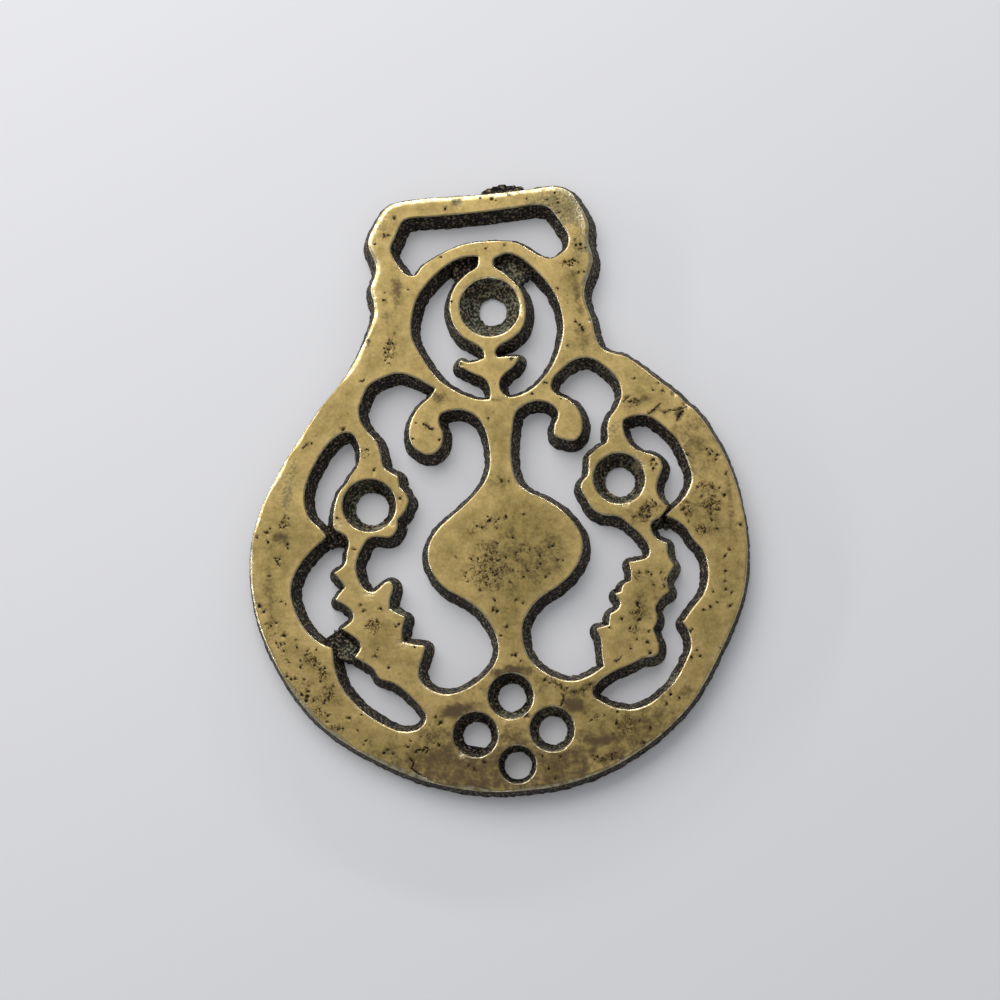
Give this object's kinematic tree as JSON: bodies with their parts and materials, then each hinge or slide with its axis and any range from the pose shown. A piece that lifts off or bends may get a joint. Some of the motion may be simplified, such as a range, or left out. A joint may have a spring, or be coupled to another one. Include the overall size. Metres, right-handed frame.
{
  "type": "horse brass",
  "caption": "Flat pierced disc of cast brass with a strap slot in its hanger, scrolls, flowers and leaves round a vase, worn smooth on the face.",
  "frame": {"origin": "middle of the footprint, on the flat back", "axes": "lying face up: +X to the right, +Y towards the strap slot, +Z out of the face"},
  "size_m": [0.0856, 0.106, 0.0037],
  "materials": {
    "brass": "old yellow brass, rubbed smooth and golden on the face, dark and grainy with dirt and verdigris in the openings"
  },
  "bodies": {
    "root": {"horse_brass": "brass"}
  },
  "joints": []
}
